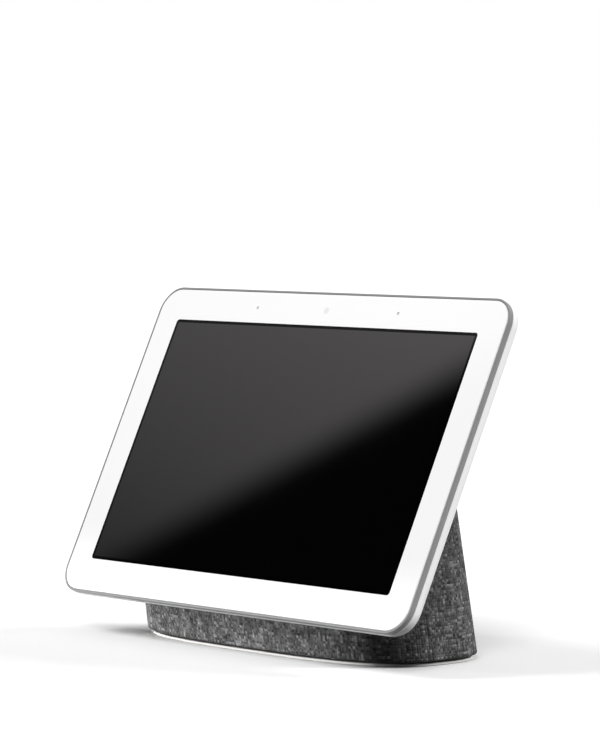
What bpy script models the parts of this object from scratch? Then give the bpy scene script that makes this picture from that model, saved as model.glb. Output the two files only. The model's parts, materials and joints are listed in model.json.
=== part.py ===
"""Smart display: a fixed, tilted 7-inch touch panel on a fabric-covered speaker base.

World frame: origin at the centre of the base's footprint on the table, +X to the viewer's
right, +Y to the back, +Z up. Panel pieces are parented to an empty at the screen's centre
whose X runs right, Y runs up the glass and Z points out of it. Speaker pieces are parented
to an empty on the driver's axis whose Z points out through the back wall.
"""
import math

import bmesh
import bpy
from mathutils import Vector

MM = 0.001

# Clearances
GAP = 0.3 * MM                  # between large neighbouring pieces
FINE_GAP = 0.1 * MM             # between small stacked pieces

# Panel outline and stack; depths are measured back from the glass face
TILT = math.radians(25.2)       # screen leaning back from vertical
PANEL_W = 178.5 * MM
PANEL_H = 115.1 * MM
PANEL_R = 9.2 * MM
SCREEN_Y = -13.85 * MM          # glass centre, in the world
SCREEN_Z = 66.4 * MM
RIM_LIP = 0.72 * MM             # width of the rim seen around the glass
RIM_FRONT = 0.12 * MM
RIM_BACK = 1.85 * MM
LEDGE_DEPTH = 1.3 * MM           # front of the ledge the glass is taped to
GLASS_INSET = 0.85 * MM
GLASS_T = 0.9 * MM
GLASS_EDGE = 0.3 * MM
SHELL_FRONT = 1.95 * MM
ROLL_FRONT = 2.9 * MM           # the shell's side is straight down to here, then rolls in
SHELL_BACK = 9.6 * MM
SHELL_WALL = 1.6 * MM
ROLL_INSET = 14.0 * MM          # how far in the rolled back edge reaches
LCD_W, LCD_H = 161.0 * MM, 96.0 * MM
BACKLIGHT_W, BACKLIGHT_H = 162.0 * MM, 96.4 * MM
LCD_DEPTHS = (1.0 * MM, 2.6 * MM)
BACKLIGHT_DEPTHS = (2.7 * MM, 4.3 * MM)
MIDPLATE_DEPTHS = (4.5 * MM, 5.3 * MM)
BOARD_DEPTHS = (6.3 * MM, 7.3 * MM)
BOARD_Y = -8.0 * MM             # centre of the main board, up the panel
SENSOR_Y = 50.7 * MM            # height of microphones and light sensor above screen centre
MIC_X = 36.0 * MM
PORT_R = 0.5 * MM               # microphone hole in the glass
SENSOR_BOARD_DEPTHS = (2.1 * MM, 2.8 * MM)
SENSOR_BOARD_H = 4.4 * MM
BOARD_OPENING = (92 * MM, 38 * MM)      # in the shell's back, round the main board

# Volume rocker, on the back near the viewer's right edge
ROCKER_X = 74.0 * MM
ROCKER_Y = 24.0 * MM
ROCKER_L, ROCKER_W = 24.6 * MM, 4.6 * MM
ROCKER_PIVOT = 7.05 * MM        # depth of the pivot pin
ROCKER_PIN_R = 0.5 * MM
ROCKER_OUT = 10.2 * MM          # depth of the rocker's outer face
ROCKER_IN = 8.3 * MM            # depth of its inner face
PLUNGER_ARM = 8.0 * MM          # plunger's distance from the pivot
PLUNGER_R = 0.8 * MM
BUTTON_BOARD_DEPTHS = (5.45 * MM, 6.05 * MM)

# Microphone switch, on the back at the top
MUTE_Y = 44.5 * MM
MUTE_TRAVEL = 2.2 * MM
MUTE_KNOB_L, MUTE_KNOB_W = 9.2 * MM, 3.2 * MM
MUTE_KNOB_DEPTHS = (7.9 * MM, 10.3 * MM)
MUTE_REST_X = -MUTE_TRAVEL / 2
LEVER_L, LEVER_W = 1.2 * MM, 1.0 * MM

# Base column: a superellipse that leans forward as it rises
BASE_HALF_W = 69.5 * MM
BASE_HALF_D = 29.65 * MM
BASE_POWER = 3.0
FRONT_SLOPE = -0.125            # change of the front face's Y per unit of height
BACK_SLOPE = -0.208
COLUMN_TOP = 100.0 * MM         # above the cut made by the panel
FABRIC_T = 1.0 * MM
FABRIC_Z = 1.7 * MM
SHELL_INSET = 1.2 * MM          # base shell, inside the fabric
BASE_WALL = 2.0 * MM
BASE_SHELL_Z = 3.2 * MM
PLATE_Z = (1.0 * MM, 2.9 * MM)
PLATE_INSET = 3.0 * MM
FOOT_T = 0.9 * MM
FOOT_INSET = 1.6 * MM
JACK_Z = 13.0 * MM
JACK_FACE_Y = 20.6 * MM
JACK_HOLE_R = 4.8 * MM          # through the wall and the fabric
GROMMET_R = 4.6 * MM
GROMMET_BORE_R = 3.3 * MM
GROMMET_L = 5.9 * MM

# Speaker driver on the back wall
SPEAKER_Z = 42.0 * MM
SPEAKER_R = 23.0 * MM
SPEAKER_SETBACK = 1.5 * MM      # from the wall's inner face to the driver's flange

# Fasteners
CHASSIS_SCREW_XY = [(x * MM, y * MM) for x in (-52, 52) for y in (-26, 10)]
BASE_SCREW_XY = [(x * MM, y * MM) for x in (-40, 40) for y in (-22.0, 20.4)]
BOSS_R = 3.0 * MM
BOSS_TOP = 8.0 * MM
SCREW_R = 1.1 * MM
SCREW_HOLE_R = 1.4 * MM
BRACKET_DEPTHS = (9.9 * MM, 11.4 * MM)

PALETTE = {
    # name: (colour, roughness, metallic)
    "white_plastic": ((0.86, 0.86, 0.85), 0.35, 0.0),
    "grey_rim": ((0.30, 0.30, 0.31), 0.45, 0.0),
    "cover_glass": ((0.92, 0.92, 0.92), 0.06, 0.0),
    "black_glass": ((0.01, 0.01, 0.012), 0.1, 0.0),
    "grey_fabric": ((0.13, 0.13, 0.135), 0.95, 0.0),
    "dark_plastic": ((0.03, 0.03, 0.03), 0.5, 0.0),
    "steel": ((0.55, 0.56, 0.58), 0.3, 1.0),
    "aluminium": ((0.75, 0.76, 0.78), 0.35, 1.0),
    "circuit_board": ((0.02, 0.16, 0.08), 0.5, 0.0),
    "chip": ((0.04, 0.04, 0.045), 0.4, 0.0),
    "copper_flex": ((0.55, 0.27, 0.08), 0.4, 0.0),
    "black_rubber": ((0.02, 0.02, 0.02), 0.8, 0.0),
    "foot_rubber": ((0.78, 0.77, 0.74), 0.45, 0.0),
    "paper_cone": ((0.06, 0.06, 0.06), 0.85, 0.0),
    "orange": ((0.9, 0.28, 0.04), 0.5, 0.0),
    "copper": ((0.72, 0.35, 0.18), 0.35, 1.0),
}


# ---------------------------------------------------------------- scene and materials

def clear_scene():
    for obj in list(bpy.data.objects):
        bpy.data.objects.remove(obj, do_unlink=True)


def make_materials():
    materials = {}
    for name, (colour, roughness, metallic) in PALETTE.items():
        mat = bpy.data.materials.new(name)
        mat.use_nodes = True
        shader = mat.node_tree.nodes["Principled BSDF"]
        shader.inputs["Base Color"].default_value = (*colour, 1.0)
        shader.inputs["Roughness"].default_value = roughness
        shader.inputs["Metallic"].default_value = metallic
        materials[name] = mat
    return materials


def add_empty(name, location, rotation_x):
    empty = bpy.data.objects.new(name, None)
    empty.location = location
    empty.rotation_euler = (rotation_x, 0.0, 0.0)
    bpy.context.collection.objects.link(empty)
    return empty


def add_object(name, bm, parent=None, location=(0.0, 0.0, 0.0)):
    """Turn a bmesh into a named object with outward normals, smooth on its round sides."""
    bmesh.ops.recalc_face_normals(bm, faces=bm.faces)
    mesh = bpy.data.meshes.new(name)
    bm.to_mesh(mesh)
    bm.free()
    mesh.shade_smooth()
    mesh.set_sharp_from_angle(angle=math.radians(35))
    obj = bpy.data.objects.new(name, mesh)
    obj.parent = parent
    obj.location = location
    bpy.context.collection.objects.link(obj)
    return obj


def paint(obj, material_name):
    obj.data.materials.append(MATERIALS[material_name])
    return obj


def boolean(target, tool, operation="DIFFERENCE"):
    """Cut the tool from the target, or join it on; the tool stays as a hidden guide."""
    modifier = target.modifiers.new(tool.name, "BOOLEAN")
    modifier.operation = operation
    modifier.object = tool
    modifier.solver = "EXACT"
    tool.hide_render = True
    tool.display_type = "WIRE"


# ---------------------------------------------------------------- outlines and solids

def rounded_rectangle(width, height, radius, steps=7):
    """Counter-clockwise outline with an arc of the given steps at each corner."""
    points = []
    for corner, (sx, sy) in enumerate(((1, 1), (-1, 1), (-1, -1), (1, -1))):
        cx = sx * (width / 2 - radius)
        cy = sy * (height / 2 - radius)
        for i in range(steps + 1):
            angle = math.pi / 2 * (corner + i / steps)
            points.append((cx + radius * math.cos(angle), cy + radius * math.sin(angle)))
    return points


def circle(radius, steps=24):
    angles = [2 * math.pi * i / steps for i in range(steps)]
    return [(radius * math.cos(a), radius * math.sin(a)) for a in angles]


def ring(outline, z):
    return [Vector((x, y, z)) for x, y in outline]


def panel_ring(depth, inset, grow=0.0):
    """Panel outline at a depth behind the glass, inset from the panel's edge."""
    shrink = inset - grow
    radius = max(PANEL_R - shrink, 1.5 * MM)
    outline = rounded_rectangle(PANEL_W - 2 * shrink, PANEL_H - 2 * shrink, radius)
    return ring(outline, -depth)


def column_ring(z, inset, steps=72):
    """Section of the base column at height z: |x/a|^n + |y/b|^n = 1, leaning forward."""
    front = -BASE_HALF_D + FRONT_SLOPE * z
    back = BASE_HALF_D + BACK_SLOPE * z
    half_w = BASE_HALF_W - inset
    half_d = (back - front) / 2 - inset
    points = []
    for i in range(steps):
        angle = 2 * math.pi * i / steps
        c = math.cos(angle)
        s = math.sin(angle)
        reach = (abs(c) ** BASE_POWER + abs(s) ** BASE_POWER) ** (-1 / BASE_POWER)
        points.append(Vector((half_w * c * reach, (front + back) / 2 + half_d * s * reach, z)))
    return points


def loft(rings, closed=False):
    """Skin rings of equal point count; cap both ends, or join last to first if closed."""
    bm = bmesh.new()
    rows = [[bm.verts.new(p) for p in points] for points in rings]
    pairs = list(zip(rows, rows[1:]))
    if closed:
        pairs.append((rows[-1], rows[0]))
    else:
        bm.faces.new(reversed(rows[0]))
        bm.faces.new(rows[-1])
    for lower, upper in pairs:
        for i in range(len(lower)):
            j = (i + 1) % len(lower)
            bm.faces.new((lower[i], lower[j], upper[j], upper[i]))
    return bm


def revolve(profile, steps=24):
    """Turn a closed (radius, z) profile about Z; points on the axis become single points."""
    bm = bmesh.new()
    rows = []
    for radius, z in profile:
        if radius == 0:
            rows.append([bm.verts.new((0.0, 0.0, z))])
        else:
            rows.append([bm.verts.new(p) for p in ring(circle(radius, steps), z)])
    for lower, upper in zip(rows, rows[1:] + rows[:1]):
        for i in range(steps):
            j = (i + 1) % steps
            corners = [lower[i % len(lower)], lower[j % len(lower)]]
            corners += [upper[j % len(upper)], upper[i % len(upper)]]
            corners = list(dict.fromkeys(corners))
            if len(corners) > 2:
                bm.faces.new(corners)
    return bm


def plate(outline, depths, shift=(0.0, 0.0)):
    """Slab of an outline function between two depths behind the glass."""
    front, back = depths
    moved = [(x + shift[0], y + shift[1]) for x, y in outline]
    return loft([ring(moved, -back), ring(moved, -front)])


def box(size, centre):
    """Rectangular block."""
    half = [s / 2 for s in size]
    outline = [(half[0], half[1]), (-half[0], half[1]), (-half[0], -half[1]), (half[0], -half[1])]
    moved = [(x + centre[0], y + centre[1]) for x, y in outline]
    return loft([ring(moved, centre[2] - half[2]), ring(moved, centre[2] + half[2])])


def merge(*meshes):
    """Gather several closed shapes in one bmesh, for a tool that cuts in many places."""
    total = bmesh.new()
    for bm in meshes:
        bmesh.ops.recalc_face_normals(bm, faces=bm.faces)
        scratch = bpy.data.meshes.new("scratch")
        bm.to_mesh(scratch)
        bm.free()
        total.from_mesh(scratch)
        bpy.data.meshes.remove(scratch)
    return total


def post(radius, z_low, z_high, centre=(0.0, 0.0), steps=20):
    outline = [(x + centre[0], y + centre[1]) for x, y in circle(radius, steps)]
    return loft([ring(outline, z_low), ring(outline, z_high)])


def rod_along_x(radius, length, centre, steps=20):
    rings = []
    for x in (centre[0] - length / 2, centre[0] + length / 2):
        rings.append([Vector((x, centre[1] + a, centre[2] + b)) for a, b in circle(radius, steps)])
    return loft(rings)


def rod_along_y(radius, y_low, y_high, centre, steps=24):
    rings = []
    for y in (y_low, y_high):
        rings.append([Vector((centre[0] + a, y, centre[1] + b)) for a, b in circle(radius, steps)])
    return loft(rings)


def smooth_path(points, steps=4):
    """Catmull-Rom curve through the given points."""
    padded = [2 * points[0] - points[1]] + points + [2 * points[-1] - points[-2]]
    path = []
    for p0, p1, p2, p3 in zip(padded, padded[1:], padded[2:], padded[3:]):
        for i in range(steps):
            t = i / steps
            path.append(0.5 * (2 * p1 + (p2 - p0) * t + (2 * p0 - 5 * p1 + 4 * p2 - p3) * t ** 2
                               + (3 * p1 - p0 - 3 * p2 + p3) * t ** 3))
    path.append(points[-1])
    return path


def cable(points, radius, sides=8):
    """Round lead swept along a smooth path."""
    path = smooth_path([Vector(p) for p in points])
    rings = []
    for i, point in enumerate(path):
        ahead = path[min(i + 1, len(path) - 1)]
        behind = path[max(i - 1, 0)]
        direction = (ahead - behind).normalized()
        side = direction.cross(Vector((1.0, 0.0, 0.0))).normalized()
        other = direction.cross(side)
        rings.append([point + side * a + other * b for a, b in circle(radius, sides)])
    return loft(rings)


def ribbon(path, thickness, width, centre_x=0.0):
    """Flat strip following a (y, z) path, as wide as stated along X."""
    low, high = [], []
    for i, (y, z) in enumerate(path):
        y0, z0 = path[max(i - 1, 0)]
        y1, z1 = path[min(i + 1, len(path) - 1)]
        length = math.hypot(y1 - y0, z1 - z0)
        offset = (-(z1 - z0) / length * thickness / 2, (y1 - y0) / length * thickness / 2)
        low.append((y - offset[0], z - offset[1]))
        high.append((y + offset[0], z + offset[1]))
    outline = low + high[::-1]
    sides = [centre_x - width / 2, centre_x + width / 2]
    return loft([[Vector((x, y, z)) for y, z in outline] for x in sides])


def shell_roll(side_inset, last_depth, steps=6):
    """(depth, inset) pairs down the shell's straight side and round its rolled edge."""
    pairs = [(SHELL_FRONT, side_inset)]
    for i in range(steps + 1):
        angle = math.pi / 2 * i / steps
        depth = ROLL_FRONT + (last_depth - ROLL_FRONT) * math.sin(angle)
        inset = side_inset + (ROLL_INSET - side_inset) * (1 - math.cos(angle))
        pairs.append((depth, inset))
    return pairs


def panel_envelope(name, grow):
    """The panel's outer form and everything in front of it, as a tool for the base."""
    reach = 60 * MM
    rings = [panel_ring(-reach, 0.0, grow)]
    for depth, inset in shell_roll(0.0, SHELL_BACK):
        rings.append(panel_ring(depth + grow * (depth / SHELL_BACK), inset, grow))
    return add_object(name, loft(rings), PANEL)


# ---------------------------------------------------------------- display

def build_glass():
    half_gone = GLASS_INSET + GLASS_EDGE
    rings = [panel_ring(GLASS_T, GLASS_INSET), panel_ring(GLASS_EDGE, GLASS_INSET)]
    rings.append(panel_ring(0.0, half_gone))
    glass = add_object("cover_glass", loft(rings), PANEL)
    ports = [post(PORT_R, -3 * MM, 1 * MM, (x, SENSOR_Y), 12) for x in (-MIC_X, MIC_X)]
    boolean(glass, add_object("mic_ports", merge(*ports), PANEL))
    paint(glass, "cover_glass")

    outer, inner = 1.5 * MM, 3.45 * MM
    front, back = GLASS_T + FINE_GAP / 2, LEDGE_DEPTH - FINE_GAP / 2
    corners = [(back, outer), (front, outer), (front, inner), (back, inner)]
    tape = loft([panel_ring(depth, inset) for depth, inset in corners], True)
    paint(add_object("glass_adhesive_frame", tape, PANEL), "black_rubber")


def build_rim():
    """Grey rim: a lip round the glass, a ledge under it and a skirt into the rear shell."""
    ledge, skirt, skirt_depth = 3.75 * MM, (2.4 * MM, 3.4 * MM), 3.8 * MM
    corners = [(RIM_FRONT, 0.1 * MM), (RIM_FRONT + 0.1 * MM, 0.0), (RIM_BACK, 0.0)]
    corners += [(RIM_BACK, skirt[0]), (skirt_depth, skirt[0]), (skirt_depth, skirt[1])]
    corners += [(RIM_BACK, skirt[1]), (RIM_BACK, ledge), (LEDGE_DEPTH, ledge)]
    corners += [(LEDGE_DEPTH, RIM_LIP), (RIM_FRONT, RIM_LIP)]
    rings = [panel_ring(depth, inset) for depth, inset in corners]
    paint(add_object("bezel_frame", loft(rings, True), PANEL), "grey_rim")


def build_rear_shell():
    """White tray with a rolled edge, open to the front, with openings in its back."""
    outer = shell_roll(0.0, SHELL_BACK)
    inner = shell_roll(SHELL_WALL, SHELL_BACK - SHELL_WALL)
    rings = [panel_ring(depth, inset) for depth, inset in outer[::-1] + inner]
    shell = add_object("rear_shell", loft(rings), PANEL)

    ears = []
    for side in (-1, 1):
        centre = (ROCKER_X + side * 3.3 * MM, ROCKER_Y, -7.3 * MM)
        ears.append(box((1.1 * MM, 3.2 * MM, 2.0 * MM), centre))
    boolean(shell, add_object("pivot_ears", merge(*ears), PANEL), "UNION")

    low, high = -12 * MM, -6.9 * MM
    board_hole = rounded_rectangle(*BOARD_OPENING, 3 * MM)
    board_hole = [(x, y + BOARD_Y) for x, y in board_hole]
    rocker_slot = rounded_rectangle(ROCKER_W + 0.8 * MM, ROCKER_L + 0.8 * MM, 1.4 * MM)
    rocker_slot = [(x + ROCKER_X, y + ROCKER_Y) for x, y in rocker_slot]
    slot_l = MUTE_KNOB_L + MUTE_TRAVEL + 2 * GAP
    mute_slot = rounded_rectangle(slot_l, MUTE_KNOB_W + 0.4 * MM, 1.5 * MM)
    mute_slot = [(x, y + MUTE_Y) for x, y in mute_slot]
    tools = [loft([ring(o, low), ring(o, high)]) for o in (board_hole, rocker_slot, mute_slot)]
    tools += [post(SCREW_HOLE_R, low, high, xy) for xy in CHASSIS_SCREW_XY]
    boolean(shell, add_object("shell_openings", merge(*tools), PANEL))
    bore = rod_along_x(ROCKER_PIN_R + 0.05 * MM, 9 * MM, (ROCKER_X, ROCKER_Y, -ROCKER_PIVOT))
    boolean(shell, add_object("pivot_bore", bore, PANEL))
    paint(shell, "white_plastic")


def build_screen_stack():
    lcd = plate(rounded_rectangle(LCD_W, LCD_H, 1 * MM, 2), LCD_DEPTHS)
    paint(add_object("lcd_cell", lcd, PANEL), "black_glass")
    tray = plate(rounded_rectangle(BACKLIGHT_W, BACKLIGHT_H, 1.5 * MM, 3), BACKLIGHT_DEPTHS)
    paint(add_object("backlight_unit", tray, PANEL), "white_plastic")

    middle = plate(rounded_rectangle(166 * MM, 96.8 * MM, 4 * MM, 4), MIDPLATE_DEPTHS)
    chassis = add_object("midplate", middle, PANEL)
    high = -MIDPLATE_DEPTHS[1] + 0.3 * MM
    standoffs = [post(2.6 * MM, -7.7 * MM, high, xy, 16) for xy in CHASSIS_SCREW_XY]
    boolean(chassis, add_object("standoffs", merge(*standoffs), PANEL), "UNION")
    bores = [post(SCREW_R + 0.1 * MM, -9 * MM, -5.6 * MM, xy, 16) for xy in CHASSIS_SCREW_XY]
    boolean(chassis, add_object("standoff_bores", merge(*bores), PANEL))
    paint(chassis, "aluminium")


def build_flex():
    """Display ribbon: from the screen's lower edge, round the plate, to the main board."""
    centre_y, centre_z, radius = -49.6 * MM, -3.82 * MM, 1.95 * MM
    path = [(centre_y + 1.0 * MM, centre_z + radius)]
    for i in range(9):
        angle = math.pi / 2 + math.pi * i / 8
        path.append((centre_y + radius * math.cos(angle), centre_z + radius * math.sin(angle)))
    path.append((-22 * MM, centre_z - radius))
    paint(add_object("display_flex", ribbon(path, 0.15 * MM, 30 * MM), PANEL), "copper_flex")


def panel_block(name, size_xy, centre_xy, depths, material_name, radius=0.5 * MM):
    outline = rounded_rectangle(size_xy[0], size_xy[1], radius, 3)
    obj = add_object(name, plate(outline, depths, shift=centre_xy), PANEL)
    return paint(obj, material_name)


def build_electronics():
    panel_block("main_board", (88 * MM, 34 * MM), (0.0, BOARD_Y), BOARD_DEPTHS,
                "circuit_board", 1.5 * MM)
    chip_xy = (-12 * MM, BOARD_Y)
    chip = (BOARD_DEPTHS[1] + FINE_GAP, 8.6 * MM)
    pad = (chip[1] + FINE_GAP, 9.3 * MM)
    spreader = (pad[1] + FINE_GAP, 10.8 * MM)
    panel_block("processor_chip", (14 * MM, 14 * MM), chip_xy, chip, "chip")
    panel_block("thermal_pad", (13 * MM, 13 * MM), chip_xy, pad, "foot_rubber")
    panel_block("heat_spreader", (44 * MM, 32 * MM), chip_xy, spreader, "aluminium", 2 * MM)
    module = (BOARD_DEPTHS[1] + FINE_GAP, 9.2 * MM)
    panel_block("wifi_module", (18 * MM, 13 * MM), (26 * MM, -3 * MM), module, "steel")

    for name, x in (("left", -MIC_X), ("right", MIC_X)):
        panel_block("mic_board_" + name, (11 * MM, SENSOR_BOARD_H), (x, SENSOR_Y),
                    SENSOR_BOARD_DEPTHS, "circuit_board")
        seal = [(0.6 * MM, -2.0 * MM), (1.7 * MM, -2.0 * MM)]
        seal += [(1.7 * MM, -1.0 * MM), (0.6 * MM, -1.0 * MM)]
        part = add_object("mic_seal_" + name, revolve(seal, 16), PANEL, (x, SENSOR_Y, 0.0))
        paint(part, "black_rubber")
        antenna = 64 * MM * (-1 if name == "left" else 1)
        panel_block("antenna_" + name, (30 * MM, 6 * MM), (antenna, 38 * MM),
                    (7.3 * MM, 7.6 * MM), "copper_flex")

    panel_block("light_sensor_board", (8 * MM, SENSOR_BOARD_H), (0.0, SENSOR_Y),
                SENSOR_BOARD_DEPTHS, "circuit_board")
    lens = [(0.0, -2.0 * MM), (1.6 * MM, -2.0 * MM), (1.6 * MM, -1.4 * MM)]
    lens += [(1.0 * MM, -1.05 * MM), (0.0, -1.0 * MM)]
    part = add_object("light_sensor_lens", revolve(lens, 16), PANEL, (0.0, SENSOR_Y, 0.0))
    paint(part, "black_glass")


def build_volume_control():
    """Rocker on a pivot pin, its nibs over two small switches with sprung plungers."""
    half_l, half_w = ROCKER_L / 2, ROCKER_W / 2
    top, bottom = -ROCKER_OUT, -ROCKER_IN
    web_half, web_end = 1.0 * MM, -ROCKER_PIVOT
    nib_half, nib_end = 0.7 * MM, -7.85 * MM
    outline = [(half_l, bottom), (half_l, top + 0.8 * MM), (half_l - 0.5 * MM, top + 0.25 * MM)]
    outline += [(half_l - 1.6 * MM, top)]
    outline += [(-y, z) for y, z in outline[::-1]]
    for side in (-1, 1):
        if side == 1:
            outline.append((-web_half, bottom))
            for i in range(9):
                angle = math.pi * (1 - i / 8)
                outline.append((web_half * math.cos(angle), web_end + web_half * math.sin(angle)))
            outline.append((web_half, bottom))
        centre = side * PLUNGER_ARM
        outline += [(centre - nib_half, bottom), (centre - nib_half, nib_end)]
        outline += [(centre + nib_half, nib_end), (centre + nib_half, bottom)]
    rings = []
    for x, pull in ((-half_w, 0.25), (-half_w + 0.4 * MM, 0.0),
                    (half_w - 0.4 * MM, 0.0), (half_w, 0.25)):
        points = [(y, z + (pull * MM if z < -9 * MM else 0.0)) for y, z in outline]
        rings.append([Vector((x, y, z + ROCKER_PIVOT)) for y, z in points])
    pivot = (ROCKER_X, ROCKER_Y, -ROCKER_PIVOT)
    rocker = add_object("volume_rocker", loft(rings), PANEL, pivot)
    bore = rod_along_x(ROCKER_PIN_R + 0.08 * MM, 8 * MM, (0.0, 0.0, 0.0))
    boolean(rocker, add_object("rocker_bore", bore, PANEL, pivot))
    paint(rocker, "white_plastic")

    pin = add_object("rocker_pin", rod_along_x(ROCKER_PIN_R, 7.4 * MM, (0.0, 0.0, 0.0)),
                     PANEL, pivot)
    paint(pin, "steel")
    panel_block("volume_board", (7 * MM, 24 * MM), (ROCKER_X, ROCKER_Y),
                BUTTON_BOARD_DEPTHS, "circuit_board")

    for name, side in (("up", 1), ("down", -1)):
        centre = (ROCKER_X, ROCKER_Y + side * PLUNGER_ARM)
        switch = panel_block("volume_switch_" + name, (3.6 * MM, 3.6 * MM), centre,
                             (6.15 * MM, 6.9 * MM), "steel", 0.3 * MM)
        bore = post(PLUNGER_R + 0.15 * MM, -7.5 * MM, -6.3 * MM, centre, 16)
        boolean(switch, add_object("switch_bore_" + name, bore, PANEL))
        place = (centre[0], centre[1], -7.7 * MM)
        plunger = post(PLUNGER_R, 0.0, 0.95 * MM, steps=16)
        button = add_object("volume_%s_plunger" % name, plunger, PANEL, place)
        paint(button, "dark_plastic")


def build_mute_switch():
    """Sliding knob on the back, the switch lever it carries, and the label under it."""
    knob_high, knob_low = (-depth for depth in MUTE_KNOB_DEPTHS)
    rings = []
    for z, inset in ((knob_low, 0.35 * MM), (knob_low + 0.35 * MM, 0.0), (knob_high, 0.0)):
        outline = rounded_rectangle(MUTE_KNOB_L - 2 * inset, MUTE_KNOB_W - 2 * inset,
                                    1.4 * MM - inset, 5)
        rings.append(ring(outline, z))
    place = (MUTE_REST_X, MUTE_Y, 0.0)
    knob = add_object("mute_slider", loft(rings), PANEL, place)
    pocket = box((LEVER_L + 0.4 * MM, LEVER_W + 0.4 * MM, 2.4 * MM), (0.0, 0.0, knob_high))
    boolean(knob, add_object("lever_pocket", pocket, PANEL, place))
    paint(knob, "white_plastic")

    lever = box((LEVER_L, LEVER_W, 2.2 * MM), (0.0, 0.0, -7.8 * MM))
    paint(add_object("mute_switch_lever", lever, PANEL, place), "dark_plastic")

    panel_block("mute_board", (16 * MM, 7 * MM), (0.0, MUTE_Y), BUTTON_BOARD_DEPTHS,
                "circuit_board")
    body = panel_block("mute_switch_body", (8.5 * MM, 3.6 * MM), (0.0, MUTE_Y),
                       (6.15 * MM, 7.2 * MM), "steel", 0.3 * MM)
    label = panel_block("mute_label", (13 * MM, 4.4 * MM), (0.0, MUTE_Y),
                        (7.35 * MM, 7.65 * MM), "orange")
    slot_l = LEVER_L + MUTE_TRAVEL + 2 * GAP
    slot = box((slot_l, LEVER_W + 0.4 * MM, 2.0 * MM), (0.0, MUTE_Y, -7.5 * MM))
    guide = add_object("lever_slot", slot, PANEL)
    boolean(body, guide)
    boolean(label, guide)


# ---------------------------------------------------------------- base

def build_base_covers():
    hem = [(0.0, 1.7), (0.0, 0.7), (0.15, 0.35), (0.4, 0.12), (0.8, 0.0)]
    rings = [column_ring(FABRIC_Z + rise * MM, inset * MM) for rise, inset in hem]
    rings += [column_ring(COLUMN_TOP, 0.0), column_ring(COLUMN_TOP, FABRIC_T)]
    rings += [column_ring(FABRIC_Z + 1.5 * MM, FABRIC_T)]
    rings += [column_ring(FABRIC_Z + 1.0 * MM, 1.7 * MM)]
    fabric = add_object("fabric_cover", loft(rings, True))
    boolean(fabric, panel_envelope("fabric_trim", GAP))
    boolean(fabric, JACK_HOLE)
    paint(fabric, "grey_fabric")

    inner_inset = SHELL_INSET + BASE_WALL
    rings = [column_ring(FABRIC_Z + 1.8 * MM, SHELL_INSET), column_ring(COLUMN_TOP, SHELL_INSET)]
    rings += [column_ring(COLUMN_TOP, inner_inset), column_ring(BASE_SHELL_Z + 0.6 * MM, inner_inset)]
    shell = add_object("base_shell", loft(rings, True))
    bosses = [post(BOSS_R, FABRIC_Z + 1.8 * MM, BOSS_TOP, xy) for xy in BASE_SCREW_XY]
    boolean(shell, add_object("screw_bosses", merge(*bosses)), "UNION")
    bores = [post(SCREW_R + 0.1 * MM, 0.0, BOSS_TOP - 1 * MM, xy, 16) for xy in BASE_SCREW_XY]
    boolean(shell, add_object("boss_bores", merge(*bores)))
    boolean(shell, panel_envelope("shell_trim", 0.5 * MM))
    boolean(shell, JACK_HOLE)
    slots = []
    for i in range(-4, 5):
        z = 4.4 * MM * i
        length = 2 * math.sqrt((18.5 * MM) ** 2 - z ** 2)
        slots.append(box((length, 2.2 * MM, 12 * MM), (0.0, z, 0.0)))
    boolean(shell, add_object("grille_slots", merge(*slots), SPEAKER))
    paint(shell, "dark_plastic")


def build_base_bottom():
    plate_rings = [column_ring(z, PLATE_INSET) for z in PLATE_Z]
    floor = add_object("base_plate", loft(plate_rings))
    recesses = [post(2.7 * MM, 0.0, 2.2 * MM, xy) for xy in BASE_SCREW_XY]
    holes = [post(SCREW_HOLE_R, 1.5 * MM, 4 * MM, xy, 16) for xy in BASE_SCREW_XY]
    boolean(floor, add_object("screw_recesses", merge(*recesses)))
    boolean(floor, add_object("screw_holes", merge(*holes)))
    paint(floor, "dark_plastic")

    rings = [column_ring(0.0, FOOT_INSET + 0.2 * MM), column_ring(0.2 * MM, FOOT_INSET)]
    rings += [column_ring(FOOT_T - 0.2 * MM, FOOT_INSET)]
    rings += [column_ring(FOOT_T, FOOT_INSET + 0.2 * MM)]
    paint(add_object("foot_pad", loft(rings)), "foot_rubber")

    weight = rounded_rectangle(70 * MM, 44 * MM, 4 * MM, 4)
    rings = [ring(weight, 3.2 * MM), ring(weight, 7.6 * MM)]
    paint(add_object("ballast_weight", loft(rings)), "steel")

    for i, xy in enumerate(BASE_SCREW_XY):
        screw = [(0.0, 0.4 * MM), (0.9 * MM, 0.3 * MM), (1.0 * MM, 0.0), (2.4 * MM, 0.0)]
        screw += [(2.4 * MM, 1.0 * MM), (SCREW_R, 1.0 * MM), (SCREW_R, 5.4 * MM), (0.0, 5.6 * MM)]
        part = add_object("base_screw_%d" % (i + 1), revolve(screw, 16), None, (*xy, 1.1 * MM))
        paint(part, "steel")


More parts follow.
